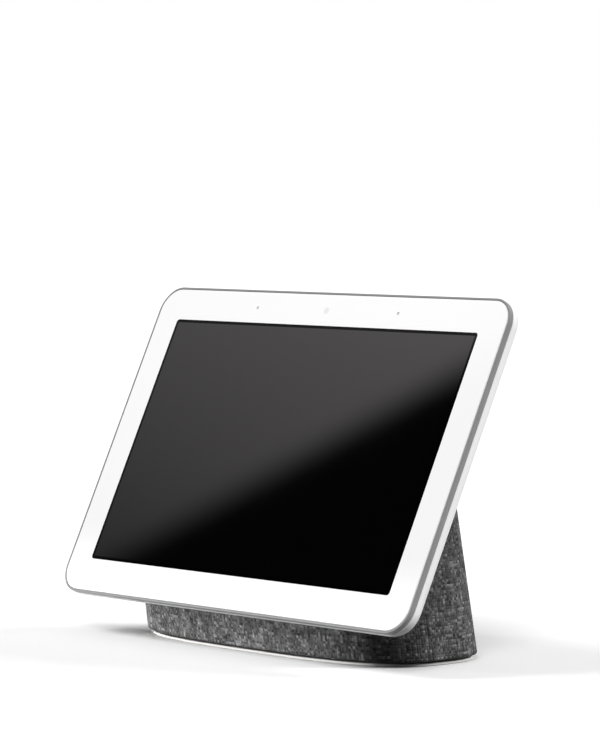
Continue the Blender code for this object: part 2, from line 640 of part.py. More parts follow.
def build_power_input():
    board = rounded_rectangle(44 * MM, 26 * MM, 1.5 * MM, 3)
    board = [(x, y + 6 * MM) for x, y in board]
    paint(add_object("power_board", loft([ring(board, 8.0 * MM), ring(board, 8.9 * MM)])),
          "circuit_board")

    body = box((9.4 * MM, 12 * MM, 7.6 * MM), (0.0, JACK_FACE_Y - 6 * MM, JACK_Z))
    jack = add_object("dc_jack", body)
    well = [(1.0 * MM, -9 * MM), (2.8 * MM, -9 * MM), (2.8 * MM, 2 * MM), (1.0 * MM, 2 * MM)]
    tool = add_object("plug_well", revolve(well, 24), None, (0.0, JACK_FACE_Y, JACK_Z))
    tool.rotation_euler = (math.radians(-90), 0.0, 0.0)
    boolean(jack, tool)
    paint(jack, "dark_plastic")

    bevel = 0.3 * MM
    sleeve = [(GROMMET_BORE_R, 0.0), (GROMMET_R, 0.0), (GROMMET_R, GROMMET_L - bevel)]
    sleeve += [(GROMMET_R - bevel, GROMMET_L), (GROMMET_BORE_R, GROMMET_L)]
    part = add_object("jack_grommet", revolve(sleeve, 28), None,
                      (0.0, JACK_FACE_Y + 0.2 * MM, JACK_Z))
    part.rotation_euler = (math.radians(-90), 0.0, 0.0)
    paint(part, "dark_plastic")


def build_bracket():
    """Plate that ties the base to the back of the panel, and its four screws."""
    outer = [(x, y + BOARD_Y) for x, y in rounded_rectangle(112 * MM, 52 * MM, 8 * MM, 5)]
    inner = [(x, y + BOARD_Y) for x, y in rounded_rectangle(95 * MM, 40 * MM, 4 * MM, 5)]
    high, low = (-depth for depth in BRACKET_DEPTHS)
    rings = [ring(outer, low), ring(outer, high), ring(inner, high), ring(inner, low)]
    bracket = add_object("neck_bracket", loft(rings, True), PANEL)
    holes = [post(SCREW_HOLE_R, low - 1 * MM, high + 1 * MM, xy, 16) for xy in CHASSIS_SCREW_XY]
    boolean(bracket, add_object("bracket_holes", merge(*holes), PANEL))
    paint(bracket, "steel")

    for i, (x, y) in enumerate(CHASSIS_SCREW_XY):
        screw = [(0.0, 0.5 * MM), (1.0 * MM, 0.0), (2.3 * MM, 0.0), (2.3 * MM, 1.2 * MM)]
        screw += [(SCREW_R, 1.2 * MM), (SCREW_R, 6.6 * MM), (0.0, 6.8 * MM)]
        part = add_object("chassis_screw_%d" % (i + 1), revolve(screw, 16), PANEL,
                          (x, y, low - 1.3 * MM))
        paint(part, "steel")


def build_speaker():
    """Small full-range driver; radii and depths along its own axis."""
    basket = [(23, 0), (23, -1.4), (21, -1.4), (15, -11.2), (9.5, -11.2), (9.5, -10)]
    basket += [(14.2, -10), (20, -0.9), (20, 0)]
    magnet = [(0, -11.5), (6.3, -11.5), (6.3, -17), (7.8, -17), (7.8, -11.4), (14, -11.4)]
    magnet += [(14, -19.4), (0, -19.4)]
    surround = [(19.8, -0.7), (19.8, -0.3), (19.3, 0.2), (18.5, 0.45), (17.7, 0.2)]
    surround += [(17.2, -0.3), (17.2, -0.7), (17.7, -0.3), (18.5, -0.05), (19.3, -0.3)]
    cone = [(16.8, -1.0), (16.8, -0.5), (16.2, -0.5), (7.3, -5.8), (7.3, -6.3), (8.0, -6.3)]
    dome = [(0, -3.4), (2.6, -3.6), (5.0, -4.2), (6.8, -5.2), (6.8, -5.7), (4.9, -4.7)]
    dome += [(2.5, -4.1), (0, -3.9)]
    coil = [(6.7, -15), (7.2, -15), (7.2, -6.4), (6.7, -6.4)]
    gasket = [(20.2, 0.1), (SPEAKER_R / MM, 0.1), (SPEAKER_R / MM, 0.8), (20.2, 0.8)]
    pieces = [("speaker_basket", basket, "steel"), ("speaker_magnet", magnet, "steel")]
    pieces += [("speaker_surround", surround, "black_rubber"), ("speaker_cone", cone, "paper_cone")]
    pieces += [("dust_cap", dome, "paper_cone"), ("voice_coil", coil, "copper")]
    pieces += [("speaker_gasket", gasket, "black_rubber")]
    for name, profile, material_name in pieces:
        scaled = [(radius * MM, z * MM) for radius, z in profile]
        paint(add_object(name, revolve(scaled, 28), SPEAKER), material_name)


def build_leads():
    speaker_points = [(34, -12.5, 46.5), (33, -6, 44), (27, 4, 41.5), (20.5, 9, 41)]
    power_points = [(-17, 6, 10.2), (-28, 2, 12.5), (-39, -4, 28), (-39, -11.4, 49.5)]
    for name, points in (("speaker_lead", speaker_points), ("power_lead", power_points)):
        scaled = [Vector(p) * MM for p in points]
        paint(add_object(name, cable(scaled, 0.9 * MM)), "black_rubber")


clear_scene()
MATERIALS = make_materials()
PANEL = add_empty("panel_frame", (0.0, SCREEN_Y, SCREEN_Z), math.pi / 2 - TILT)
WALL_LEAN = math.atan(-BACK_SLOPE)
wall_y = BASE_HALF_D - SHELL_INSET - BASE_WALL + BACK_SLOPE * SPEAKER_Z
SPEAKER = add_empty("speaker_frame", (0.0, wall_y - SPEAKER_SETBACK, SPEAKER_Z),
                    WALL_LEAN - math.pi / 2)
JACK_HOLE = add_object("jack_hole",
                       rod_along_y(JACK_HOLE_R, 18 * MM, 32 * MM, (0.0, JACK_Z)))

build_glass()
build_rim()
build_rear_shell()
build_screen_stack()
build_flex()
build_electronics()
build_volume_control()
build_mute_switch()
build_base_covers()
build_base_bottom()
build_power_input()
build_bracket()
build_speaker()
build_leads()
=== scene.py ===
"""Looks of the smart display: glass, shells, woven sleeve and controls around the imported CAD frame.

Lengths are in metres. Panel pieces are modelled in the panel's own frame (X right, Y up the
glass, Z out of it) and depths are measured back from the glass face.
"""

import json
import math

import bmesh
import bpy
import numpy as np
from mathutils import Matrix, Vector


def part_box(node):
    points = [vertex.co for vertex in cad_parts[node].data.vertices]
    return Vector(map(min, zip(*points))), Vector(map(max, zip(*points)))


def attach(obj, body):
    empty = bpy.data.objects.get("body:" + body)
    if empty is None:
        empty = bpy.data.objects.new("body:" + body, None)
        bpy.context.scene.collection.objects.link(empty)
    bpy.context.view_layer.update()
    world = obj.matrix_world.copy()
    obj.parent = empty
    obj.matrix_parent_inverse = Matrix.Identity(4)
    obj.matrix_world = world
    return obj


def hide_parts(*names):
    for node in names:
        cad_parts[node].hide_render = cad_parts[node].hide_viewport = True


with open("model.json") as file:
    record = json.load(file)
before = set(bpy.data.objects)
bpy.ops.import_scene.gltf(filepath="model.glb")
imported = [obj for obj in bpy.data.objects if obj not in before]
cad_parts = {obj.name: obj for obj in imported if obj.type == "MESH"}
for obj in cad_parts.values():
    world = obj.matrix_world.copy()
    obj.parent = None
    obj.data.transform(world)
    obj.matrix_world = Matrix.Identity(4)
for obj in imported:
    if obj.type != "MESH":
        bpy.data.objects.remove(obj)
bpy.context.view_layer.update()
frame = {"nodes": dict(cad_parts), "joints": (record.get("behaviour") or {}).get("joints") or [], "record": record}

MM = 0.001
JOINTS = {joint["name"]: joint for joint in frame["joints"]}

# ---------------------------------------------------------------- the panel, from the frame
GLASS_T = 0.9 * MM
GLASS_INSET = 0.85 * MM             # glass edge inside the rim's outer edge
PANEL_R = 9.2 * MM
PANEL_OUT = Vector(JOINTS["volume_up_press"]["axis"]).normalized()
PANEL_UP = PANEL_OUT.cross(Vector((1.0, 0.0, 0.0)))
glass_low, glass_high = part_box("cover_glass")
PANEL_W = glass_high.x - glass_low.x + 2 * GLASS_INSET
glass_rise = glass_high.z - glass_low.z - GLASS_T * PANEL_OUT.z
PANEL_H = glass_rise / PANEL_UP.z + 2 * GLASS_INSET
PANEL_CENTRE = (glass_low + glass_high) / 2 + PANEL_OUT * GLASS_T / 2
PANEL = Matrix((
    (1.0, PANEL_UP.x, PANEL_OUT.x, PANEL_CENTRE.x),
    (0.0, PANEL_UP.y, PANEL_OUT.y, PANEL_CENTRE.y),
    (0.0, PANEL_UP.z, PANEL_OUT.z, PANEL_CENTRE.z),
    (0.0, 0.0, 0.0, 1.0),
))

# Glass front
WINDOW_W, WINDOW_H, WINDOW_R = 154.2 * MM, 90.4 * MM, 1.2 * MM
MATRIX_BAND = 1.1 * MM              # black print round the lit area
GLASS_EDGE_R = 0.35 * MM
SENSOR_Y = 50.7 * MM
MIC_X = 36.0 * MM
MIC_R = 0.55 * MM
MIC_GAUZE = ((0.54, 0.80), (0.54, 0.36), (0.40, 0.31), (0.15, 0.28))    # radius, depth in mm
SENSOR_SPOT_R = 1.3 * MM
SEAM = 0.01 * MM                    # between the border and the screen window

# Rim and rear shell
RIM_LIP = 0.72 * MM
RIM_FRONT = 0.12 * MM
RIM_BACK = 1.85 * MM
RIM_EDGE_R = 0.15 * MM
LEDGE_DEPTH, LEDGE_INSET = 1.3 * MM, 3.75 * MM
SKIRT_DEPTH = 3.8 * MM
SKIRT_INSETS = (2.4 * MM, 3.4 * MM)
SHELL_FRONT = 1.95 * MM
SHELL_EDGE = 0.12 * MM
ROLL_FRONT = 2.9 * MM               # straight side down to here, then the roll
SHELL_BACK = 9.6 * MM
SHELL_WALL = 1.6 * MM
ROLL_INSET = 14.0 * MM
BOARD_OPENING = (92 * MM, 38 * MM, 3 * MM)          # length, height, corner radius
SCREW_HOLE_R = 1.4 * MM
OPENING_CUT = (-12 * MM, -7 * MM)                   # how far the openings' tools reach

# Controls; their depths run from the root inside the shell to the outer face
ROCKER_L, ROCKER_W = 24.6 * MM, 4.6 * MM
ROCKER_DEPTHS = (8.3 * MM, 10.25 * MM)
PIP_Y = 8 * MM
PIP = ((0.45, 10.0), (0.45, 10.3), (0.36, 10.4), (0.15, 10.45))         # radius, depth in mm
KNOB_L, KNOB_W = 9.2 * MM, 3.2 * MM
KNOB_DEPTHS = (8.0 * MM, 10.1 * MM)
RIDGE_L, RIDGE_W, RIDGE_PITCH = 1.8, 0.5, 1.3                           # in mm
RIDGE = ((9.8, 0.0), (10.25, 0.0), (10.38, -0.1))                       # depth, growth in mm
MUTE_TRAVEL = JOINTS["mute_slide_travel"]["range_m"][1]
SLOT_GAP = 0.4 * MM
SLOT_FLARE = 0.25 * MM

# Base column: |x/a|^n + |y/b|^n = 1, leaning forward as it rises
foot_low, foot_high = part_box("foot_pad")
FOOT_INSET = 1.6 * MM
BASE_HALF_W = (foot_high.x - foot_low.x) / 2 + FOOT_INSET
BASE_HALF_D = 29.65 * MM
BASE_POWER = 3.0
FRONT_SLOPE = -0.125
BACK_SLOPE = -0.208
FABRIC_T = 1.0 * MM
FABRIC_Z = 1.7 * MM
HEM_R = 0.8 * MM
TRIM_GAP = 0.3 * MM                 # between the fabric's top edge and the shell
COLUMN_TOP = 100.0 * MM
YARN = 0.9 * MM                     # pitch of the weave
WEAVE_STEPS = 2                     # mesh columns per yarn
WEAVE_HEIGHT = 0.14 * MM

# Power inlet
COLLAR_R, COLLAR_BORE_R, COLLAR_EDGE = 4.6 * MM, 3.3 * MM, 0.3 * MM
INLET_HOLE_R = 4.8 * MM             # hole in the fabric

MATERIALS = {}


# ---------------------------------------------------------------- node materials

class Nodes:
    """Small helper around one material's node tree."""

    def __init__(self, name, roughness, metallic=0.0):
        self.material = bpy.data.materials.new(name)
        self.material.use_nodes = True
        self.tree = self.material.node_tree
        self.shader = self.tree.nodes["Principled BSDF"]
        self.shader.inputs["Roughness"].default_value = roughness
        self.shader.inputs["Metallic"].default_value = metallic
        self.shader.inputs["IOR"].default_value = 1.5
        self.coords = self.tree.nodes.new("ShaderNodeTexCoord")
        MATERIALS[name] = self.material

    def add(self, kind, **values):
        node = self.tree.nodes.new(kind)
        for key, value in values.items():
            setattr(node, key, value)
        return node

    def link(self, source, target):
        self.tree.links.new(source, target)

    def math(self, operation, a, b=0.0):
        node = self.add("ShaderNodeMath", operation=operation)
        for socket, value in zip(node.inputs, (a, b)):
            if isinstance(value, (int, float)):
                socket.default_value = value
            else:
                self.link(value, socket)
        return node.outputs[0]

    def noise(self, scale, detail=3.0, roughness=0.5, stretch=None, source=None):
        node = self.add("ShaderNodeTexNoise")
        node.inputs["Scale"].default_value = scale
        node.inputs["Detail"].default_value = detail
        node.inputs["Roughness"].default_value = roughness
        vector = source or self.coords.outputs["Object"]
        if stretch:
            mapping = self.add("ShaderNodeMapping")
            mapping.inputs["Scale"].default_value = stretch
            self.link(vector, mapping.inputs["Vector"])
            vector = mapping.outputs["Vector"]
        self.link(vector, node.inputs["Vector"])
        return node.outputs["Fac"]

    def ramp(self, fac, stops):
        node = self.add("ShaderNodeValToRGB")
        elements = node.color_ramp.elements
        while len(elements) < len(stops):
            elements.new(0.5)
        for element, (position, colour) in zip(elements, stops):
            element.position = position
            element.color = (*colour, 1.0)
        self.link(fac, node.inputs["Fac"])
        return node.outputs["Color"]

    def spread(self, fac, low, high):
        """Map a 0..1 value to low..high."""
        node = self.add("ShaderNodeMapRange")
        node.inputs["To Min"].default_value = low
        node.inputs["To Max"].default_value = high
        self.link(fac, node.inputs["Value"])
        return node.outputs["Result"]

    def colour(self, source):
        self.link(source, self.shader.inputs["Base Color"])

    def roughness(self, source):
        self.link(source, self.shader.inputs["Roughness"])

    def bump(self, height, distance, strength=1.0):
        node = self.add("ShaderNodeBump")
        node.inputs["Distance"].default_value = distance
        node.inputs["Strength"].default_value = strength
        self.link(height, node.inputs["Height"])
        self.link(node.outputs["Normal"], self.shader.inputs["Normal"])


def grey(value):
    return (value, value, value)


def moulded(name, colour, roughness, grain=0.012 * MM, grain_scale=3500):
    """Injection-moulded plastic: fine spark-eroded grain and a slight drift of tone."""
    nodes = Nodes(name, roughness)
    low = tuple(c * 0.96 for c in colour)
    nodes.colour(nodes.ramp(nodes.noise(60, 2.0), [(0.35, low), (0.65, colour)]))
    fine = nodes.noise(grain_scale, 2.0, 0.6)
    nodes.roughness(nodes.spread(fine, roughness - 0.05, roughness + 0.06))
    nodes.bump(fine, grain)
    return nodes


def brushed(name, colour, roughness, along=(60, 4000, 4000)):
    """Bare metal with fine streaks; along gives the streaks' fineness on each axis."""
    nodes = Nodes(name, roughness, metallic=1.0)
    streaks = nodes.noise(1.0, 4.0, 0.6, stretch=along)
    low = tuple(c * 0.82 for c in colour)
    nodes.colour(nodes.ramp(streaks, [(0.3, low), (0.7, colour)]))
    nodes.roughness(nodes.spread(streaks, roughness - 0.06, roughness + 0.1))
    nodes.bump(streaks, 0.01 * MM)


def make_glass_materials():
    """White print under the border with a faint sensor spot, and the switched-off screen."""
    border = Nodes("border_white", 0.07)
    centre = border.add("ShaderNodeVectorMath", operation="DISTANCE")
    border.link(border.coords.outputs["Object"], centre.inputs[0])
    centre.inputs[1].default_value = (0.0, SENSOR_Y, 0.0)
    reach = border.math("DIVIDE", centre.outputs["Value"], 2 * SENSOR_SPOT_R)
    print_tone = border.ramp(reach, [(0.0, grey(0.78)), (0.44, grey(0.82)), (0.52, grey(0.93))])
    border.colour(print_tone)
    border.roughness(border.spread(border.noise(25, 3.0), 0.05, 0.09))

    screen = Nodes("screen_black", 0.06)
    split = screen.add("ShaderNodeSeparateXYZ")
    screen.link(screen.coords.outputs["Object"], split.inputs[0])
    side = screen.math("ABSOLUTE", split.outputs["X"])
    side = screen.math("SUBTRACT", WINDOW_W / 2 - MATRIX_BAND, side)
    rise = screen.math("ABSOLUTE", split.outputs["Y"])
    rise = screen.math("SUBTRACT", WINDOW_H / 2 - MATRIX_BAND, rise)
    inside = screen.math("GREATER_THAN", screen.math("MINIMUM", side, rise), 0.0)
    screen.colour(screen.ramp(inside, [(0.0, grey(0.0005)), (1.0, grey(0.001))]))
    screen.link(screen.spread(inside, 0.06, 0.5), screen.shader.inputs["Specular IOR Level"])
    screen.shader.inputs["Specular Tint"].default_value = (1.0, 0.93, 0.965, 1.0)
    screen.roughness(screen.spread(screen.noise(30, 3.0), 0.015, 0.035))


WANDER_SCALE, WANDER = 1.7, 0.5     # how finely and how far the yarns' edges wander, in yarns
YARN_JUMP = 7.31                    # step between neighbouring yarns in the tone noise
TONE_ALONG = 0.2                    # tone changes per yarn width along a yarn
TONE_SHARES = (0.62, 0.24, 0.14)    # yarn, fibre, patch
TONE_STOPS = ((0.38, 0.02), (0.46, 0.06), (0.54, 0.145), (0.62, 0.36))


def make_fabric_material():
    """Melange weave: yarns drift in tone along their own length, one set over the other."""
    cloth = Nodes("melange_weave", 0.95)
    uv = cloth.coords.outputs["UV"]
    wander = cloth.add("ShaderNodeTexNoise")
    wander.inputs["Scale"].default_value = WANDER_SCALE
    cloth.link(uv, wander.inputs["Vector"])
    uneven = cloth.add("ShaderNodeVectorMath", operation="MULTIPLY_ADD")
    cloth.link(wander.outputs["Color"], uneven.inputs[0])
    uneven.inputs[1].default_value = (WANDER, WANDER, 0.0)
    cloth.link(uv, uneven.inputs[2])
    split = cloth.add("ShaderNodeSeparateXYZ")
    cloth.link(uneven.outputs["Vector"], split.inputs[0])
    u, v = split.outputs["X"], split.outputs["Y"]
    u_yarn = cloth.math("FLOOR", u)
    v_yarn = cloth.math("FLOOR", v)
    over = cloth.math("MODULO", cloth.math("ABSOLUTE", cloth.math("ADD", u_yarn, v_yarn)), 2.0)

    def yarn_tone(across, along):
        place = cloth.add("ShaderNodeCombineXYZ")
        cloth.link(cloth.math("MULTIPLY", across, YARN_JUMP), place.inputs[0])
        cloth.link(cloth.math("MULTIPLY", along, TONE_ALONG), place.inputs[1])
        return cloth.noise(1.0, 3.0, 0.65, source=place.outputs[0])

    def crown(a, b):
        """Height of a yarn that runs along b, seen across a, humped where it lies on top."""
        across = cloth.math("ABSOLUTE", cloth.math("SINE", cloth.math("MULTIPLY", a, math.pi)))
        hump = cloth.math("ABSOLUTE", cloth.math("SINE", cloth.math("MULTIPLY", b, math.pi)))
        return cloth.math("MULTIPLY", across, cloth.math("ADD", hump, 0.6))

    def choose(when_weft, when_warp):
        mix = cloth.add("ShaderNodeMix", data_type="FLOAT")
        cloth.link(over, mix.inputs["Factor"])
        cloth.link(when_weft, mix.inputs["A"])
        cloth.link(when_warp, mix.inputs["B"])
        return mix.outputs["Result"]

    tone = choose(yarn_tone(v_yarn, u), yarn_tone(u_yarn, v))
    fibre = cloth.noise(1.0, 3.0, 0.7, stretch=(11.0, 11.0, 1.0), source=uv)
    patch = cloth.noise(0.16, 2.0, 0.5, source=uv)
    shares = zip((tone, fibre, patch), TONE_SHARES)
    tone, fibre_share, patch_share = [cloth.math("MULTIPLY", part, share) for part, share in shares]
    tone = cloth.math("ADD", cloth.math("ADD", tone, fibre_share), patch_share)
    cloth.colour(cloth.ramp(tone, [(place, grey(value)) for place, value in TONE_STOPS]))
    height = cloth.math("ADD", choose(crown(v, u), crown(u, v)), cloth.math("MULTIPLY", fibre, 0.7))
    cloth.bump(height, 0.12 * MM, 0.7)
    cloth.shader.inputs["Sheen Weight"].default_value = 0.03
    cloth.shader.inputs["Sheen Roughness"].default_value = 0.5
    cloth.shader.inputs["Specular IOR Level"].default_value = 0.2


def make_board_material():
    """Green circuit board with a faint pattern of traces."""
    board = Nodes("board_green", 0.35)
    traces = board.add("ShaderNodeTexBrick", offset=0.3, squash=1.6)
    traces.inputs["Scale"].default_value = 260
    traces.inputs["Mortar Size"].default_value = 0.012
    traces.inputs["Color1"].default_value = (0.004, 0.075, 0.035, 1.0)
    traces.inputs["Color2"].default_value = (0.006, 0.095, 0.045, 1.0)
    traces.inputs["Mortar"].default_value = (0.02, 0.20, 0.09, 1.0)
    board.link(board.coords.outputs["Object"], traces.inputs["Vector"])
    board.colour(traces.outputs["Color"])
    board.bump(traces.outputs["Fac"], 0.02 * MM)


def make_label_material():
    """Switch label: warning orange on the side that shows when the microphones are off."""
    label = Nodes("label_two_tone", 0.45)
    split = label.add("ShaderNodeSeparateXYZ")
    label.link(label.coords.outputs["Object"], split.inputs[0])
    right = label.math("GREATER_THAN", split.outputs["X"], 0.0)
    label.colour(label.ramp(right, [(0.0, (0.85, 0.20, 0.015)), (1.0, grey(0.42))]))
    label.bump(label.noise(4000, 2.0), 0.01 * MM)


def make_materials():
    make_glass_materials()
    make_fabric_material()
    make_board_material()
    make_label_material()
    # Rim colour: partly the frame's own grey, partly painted shade that darkens it to stand for the shadowed band
    # round the glass.
    moulded("rim_grey_painted_shade", (0.245, 0.245, 0.25), 0.34)
    moulded("shell_white", (0.91, 0.91, 0.905), 0.36)
    moulded("control_white", (0.82, 0.82, 0.815), 0.33)
    moulded("plastic_black", (0.022, 0.022, 0.023), 0.5, grain=0.02 * MM)
    moulded("chip_black", (0.03, 0.03, 0.032), 0.42)
    moulded("gauze_grey", (0.62, 0.62, 0.625), 0.8, grain=0.05 * MM, grain_scale=9000)
    moulded("silicone_pale", (0.80, 0.79, 0.77), 0.28, grain=0.006 * MM)
    moulded("rubber_black", (0.018, 0.018, 0.018), 0.75, grain=0.02 * MM)
    moulded("flex_amber", (0.42, 0.19, 0.04), 0.38)
    moulded("paper_dark", (0.035, 0.035, 0.036), 0.9, grain=0.05 * MM, grain_scale=1800)
    moulded("lcd_black", (0.006, 0.006, 0.008), 0.12)
    brushed("steel_zinc", (0.56, 0.57, 0.59), 0.34)
    brushed("aluminium_sheet", (0.77, 0.78, 0.79), 0.36)
    brushed("copper_wound", (0.72, 0.36, 0.20), 0.35, along=(4000, 4000, 9000))


SLOT_MATERIALS = {
    "white_plastic": "shell_white", "grey_rim": "rim_grey_painted_shade", "cover_glass": "border_white",
    "black_glass": "lcd_black", "grey_fabric": "melange_weave", "dark_plastic": "plastic_black",
    "steel": "steel_zinc", "aluminium": "aluminium_sheet", "circuit_board": "board_green",
    "chip": "chip_black", "copper_flex": "flex_amber", "black_rubber": "rubber_black",
    "foot_rubber": "silicone_pale", "paper_cone": "paper_dark", "orange": "label_two_tone",
    "copper": "copper_wound",
}


def dress_cad_nodes():
    """Every CAD node gets the procedural material of its slot."""
    for part in frame["record"]["subparts"]:
        node = frame["nodes"][part["node"]]
        node.data.materials.clear()
        node.data.materials.append(MATERIALS[SLOT_MATERIALS[part["material_slot"]]])


# ---------------------------------------------------------------- mesh building

def rounded_rectangle(width, height, radius, steps=20):
    points = []
    for corner, (sx, sy) in enumerate(((1, 1), (-1, 1), (-1, -1), (1, -1))):
        cx = sx * (width / 2 - radius)
        cy = sy * (height / 2 - radius)
        for i in range(steps + 1):
            angle = math.pi / 2 * (corner + i / steps)
            points.append((cx + radius * math.cos(angle), cy + radius * math.sin(angle)))
    return points


def circle(radius, steps):
    angles = [2 * math.pi * i / steps for i in range(steps)]
    return [(radius * math.cos(a), radius * math.sin(a)) for a in angles]


def ring(outline, z, centre=(0.0, 0.0)):
    return [(x + centre[0], y + centre[1], z) for x, y in outline]


def panel_ring(depth, inset):
    radius = max(PANEL_R - inset, 1.5 * MM)
    outline = rounded_rectangle(PANEL_W - 2 * inset, PANEL_H - 2 * inset, radius)
    return ring(outline, -depth)


def fillet(start, end, steps=5):
    """(depth, inset) pairs on a quarter ellipse that leaves start along depth, ends along inset."""
    pairs = []
    for i in range(steps + 1):
        angle = math.pi / 2 * i / steps
        depth = start[0] + (end[0] - start[0]) * math.sin(angle)
        inset = start[1] + (end[1] - start[1]) * (1 - math.cos(angle))
        pairs.append((depth, inset))
    return pairs


def loft(rings, closed=False):
    bm = bmesh.new()
    rows = [[bm.verts.new(p) for p in points] for points in rings]
    pairs = list(zip(rows, rows[1:]))
    if closed:
        pairs.append((rows[-1], rows[0]))
    else:
        bm.faces.new(reversed(rows[0]))
        bm.faces.new(rows[-1])
    for lower, upper in pairs:
        for i in range(len(lower)):
            j = (i + 1) % len(lower)
            bm.faces.new((lower[i], lower[j], upper[j], upper[i]))
    bmesh.ops.recalc_face_normals(bm, faces=bm.faces)
    return bm


def revolve(profile, steps=48):
    """Closed (radius, z) profile turned about Z; the profile stays off the axis."""
    return loft([ring(circle(radius, steps), z) for radius, z in profile], True)


def add_piece(name, bm, material, matrix=PANEL, sharp=35):
    mesh = bpy.data.meshes.new(name)
    bm.to_mesh(mesh)
    bm.free()
    mesh.shade_smooth()
    mesh.set_sharp_from_angle(angle=math.radians(sharp))
    obj = bpy.data.objects.new(name, mesh)
    obj.matrix_world = matrix
    bpy.context.scene.collection.objects.link(obj)
    mesh.materials.append(MATERIALS[material])
    return obj


def cut(obj, tools):
    """Subtract bmesh tools, given in the object's own frame, and apply the result."""
    for bm in tools:
        mesh = bpy.data.meshes.new("tool")
        bm.to_mesh(mesh)
        bm.free()
        tool = bpy.data.objects.new("tool", mesh)
        tool.matrix_world = obj.matrix_world
        bpy.context.scene.collection.objects.link(tool)
        modifier = obj.modifiers.new("cut", "BOOLEAN")
        modifier.object = tool
        modifier.solver = "EXACT"
    bpy.context.view_layer.update()
    graph = bpy.context.evaluated_depsgraph_get()
    result = bpy.data.meshes.new_from_object(obj.evaluated_get(graph))
    for modifier in list(obj.modifiers):
        bpy.data.objects.remove(modifier.object)
        obj.modifiers.remove(modifier)
    obj.data = result
    obj.data.shade_smooth()
    obj.data.set_sharp_from_angle(angle=math.radians(35))


def flared_slot(length_x, length_y, radius, centre, surface, floor):
    """Tool for a slot in the shell's back whose mouth widens slightly."""
    rings = []
    for z, grow in ((floor, 0.0), (surface + SLOT_FLARE, 0.0), (surface, SLOT_FLARE),
                    (surface - 2 * MM, SLOT_FLARE)):
        outline = rounded_rectangle(length_x + 2 * grow, length_y + 2 * grow, radius + grow, 8)
        rings.append(ring(outline, z, centre))
    return loft(rings)


# ---------------------------------------------------------------- display pieces

def panel_xy(point):
    """Where a world point lies on the panel, in the panel's own frame."""
    local = PANEL.inverted() @ Vector(point)
    return local.x, local.y


def build_glass():
    """White border with two microphone holes, black screen window, gauze in the holes."""
    half = fillet((GLASS_EDGE_R, GLASS_INSET), (0.0, GLASS_INSET + GLASS_EDGE_R))
    rings = [panel_ring(GLASS_T, GLASS_INSET)]
    rings += [panel_ring(depth, inset) for depth, inset in half]
    rings.append(panel_ring(0.0, half[-1][1] + 0.05 * MM))
    window = rounded_rectangle(WINDOW_W, WINDOW_H, WINDOW_R)
    rings += [ring(window, 0.0), ring(window, -GLASS_T)]
    border = add_piece("glass_border", loft(rings, True), "border_white")
    ports = [loft([ring(circle(MIC_R, 24), z, (x, SENSOR_Y)) for z in (-2 * MM, 1 * MM)])
             for x in (-MIC_X, MIC_X)]
    cut(border, ports)
    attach(border, "body")
    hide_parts("cover_glass")

    inner = rounded_rectangle(WINDOW_W - 2 * SEAM, WINDOW_H - 2 * SEAM, WINDOW_R - SEAM)
    screen = loft([ring(inner, -GLASS_T), ring(inner, 0.0)])
    screen = add_piece("screen_window", screen, "screen_black")
    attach(screen, "body")

    for side, x in (("left", -MIC_X), ("right", MIC_X)):
        disc = [ring(circle(radius * MM, 24), -depth * MM, (x, SENSOR_Y))
                for radius, depth in MIC_GAUZE]
        gauze = add_piece("mic_gauze_" + side, loft(disc), "gauze_grey")
        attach(gauze, "body")


def build_rim():
    """Rim round the glass, its grey partly the frame's own colour and partly painted shade, with the ledge the
    glass rests on and a skirt inside the shell.
    """
    edge = RIM_EDGE_R
    near, far = SKIRT_INSETS
    path = [(RIM_FRONT + edge, RIM_LIP), (RIM_FRONT, RIM_LIP - edge * 0.3)]
    path += fillet((RIM_FRONT + edge, 0.0), (RIM_FRONT, edge), 4)[::-1]
    path += fillet((RIM_BACK - edge, 0.0), (RIM_BACK, edge), 4)
    path += [(RIM_BACK, near), (SKIRT_DEPTH, near), (SKIRT_DEPTH, far)]
    path += [(RIM_BACK, far), (RIM_BACK, LEDGE_INSET), (LEDGE_DEPTH, LEDGE_INSET)]
    path += [(LEDGE_DEPTH, RIM_LIP)]
    rings = [panel_ring(depth, inset) for depth, inset in path]
    rim = add_piece("bezel_rim", loft(rings, True), "rim_grey_painted_shade")
    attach(rim, "body")
    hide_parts("bezel_frame")


def shell_depth(inset):
    """Depth of the rear shell's outer surface at a distance in from the panel's edge."""
    share = np.clip(1 - inset / ROLL_INSET, 0.0, 1.0)
    return ROLL_FRONT + (SHELL_BACK - ROLL_FRONT) * np.sqrt(1 - share ** 2)


